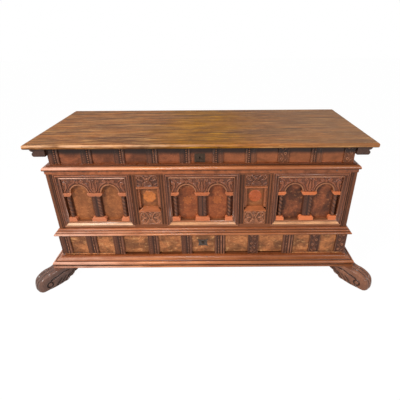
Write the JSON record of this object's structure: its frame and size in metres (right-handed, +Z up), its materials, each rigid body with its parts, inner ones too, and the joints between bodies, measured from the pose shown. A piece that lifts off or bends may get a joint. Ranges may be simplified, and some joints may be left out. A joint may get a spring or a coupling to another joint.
{
  "type": "cassone",
  "caption": "Long walnut storage chest with a hinged lid, an arcaded panelled front, a wide drawer in the plinth and scroll feet set on the diagonal.",
  "frame": {"origin": "on the floor under the middle of the bounding box", "axes": "+X along the front towards the right-hand end, +Y from the panelled front towards the back, +Z up"},
  "size_m": [1.9394, 0.8476, 0.835],
  "materials": {
    "lid_walnut": "waxed, worn",
    "walnut": "waxed",
    "figured_walnut": "waxed burr veneer",
    "dark_walnut": "waxed, darkened",
    "light_walnut": "waxed",
    "fruitwood_inlay": "waxed inlay",
    "lining_wood": "bare, aged",
    "wrought_iron": "dark, forged"
  },
  "bodies": {
    "carcass": {"arcade_centre": "walnut", "arcade_left": "walnut", "arcade_right": "walnut", "back_board": "lining_wood", "base_board": "lining_wood", "base_moulding": "walnut", "belt_moulding": "walnut", "bottom_rail": "walnut", "capitals": "light_walnut", "chest_escutcheon": "wrought_iron", "chest_floor": "lining_wood", "chest_lock_case": "wrought_iron", "column_bases": "light_walnut", "columns": "dark_walnut", "corner_stiles": "walnut", "cornice": "walnut", "drawer_sill": "walnut", "end_board_left": "lining_wood", "end_board_right": "lining_wood", "end_facings": "walnut", "end_frame_left": "walnut", "end_frame_right": "walnut", "field_centre": "figured_walnut", "field_left": "figured_walnut", "field_right": "figured_walnut", "fixed_fronts": "figured_walnut", "foot_front_left": "dark_walnut", "foot_front_right": "dark_walnut", "frame_centre": "walnut", "frame_left": "walnut", "frame_right": "walnut", "frieze_blocks": "dark_walnut", "front_board": "walnut", "hinge_leaves": "wrought_iron", "hinge_pins": "wrought_iron", "narrow_blocks": "walnut", "narrow_fields": "figured_walnut", "narrow_trim": "walnut", "panel_stiles": "walnut", "partitions": "lining_wood", "plinth_back": "lining_wood", "plinth_blocks": "dark_walnut", "plinth_ends": "walnut", "rear_feet": "dark_walnut", "rosettes": "fruitwood_inlay", "runners": "lining_wood", "top_rail": "walnut"},
    "lid": {"lid_board": "lid_walnut", "lid_battens": "dark_walnut", "lid_straps": "wrought_iron", "lock_staple": "wrought_iron"},
    "drawer": {"drawer_front": "figured_walnut", "drawer_blocks": "dark_walnut", "drawer_sides": "lining_wood", "drawer_back": "lining_wood", "drawer_bottom": "lining_wood", "drawer_escutcheon": "wrought_iron", "drawer_lock_case": "wrought_iron"},
    "chest_lock_bolt": {"chest_bolt": "wrought_iron"},
    "drawer_lock_bolt": {"drawer_bolt": "wrought_iron"}
  },
  "joints": [
    {"name": "lid_hinge", "type": "hinge", "parent": "carcass", "child": "lid", "pos_m": [0, 0.41134, 0.805], "axis": [-1, 0, 0], "range_deg": [0, 95]},
    {"name": "drawer_slide", "type": "slide", "parent": "carcass", "child": "drawer", "axis": [0, -1, 0], "range_m": [0, 0.42]},
    {"name": "chest_bolt_slide", "type": "slide", "parent": "carcass", "child": "chest_lock_bolt", "axis": [1, 0, 0], "range_m": [0, 0.018]},
    {"name": "drawer_bolt_slide", "type": "slide", "parent": "drawer", "child": "drawer_lock_bolt", "axis": [0, 0, 1], "range_m": [0, 0.009]}
  ]
}
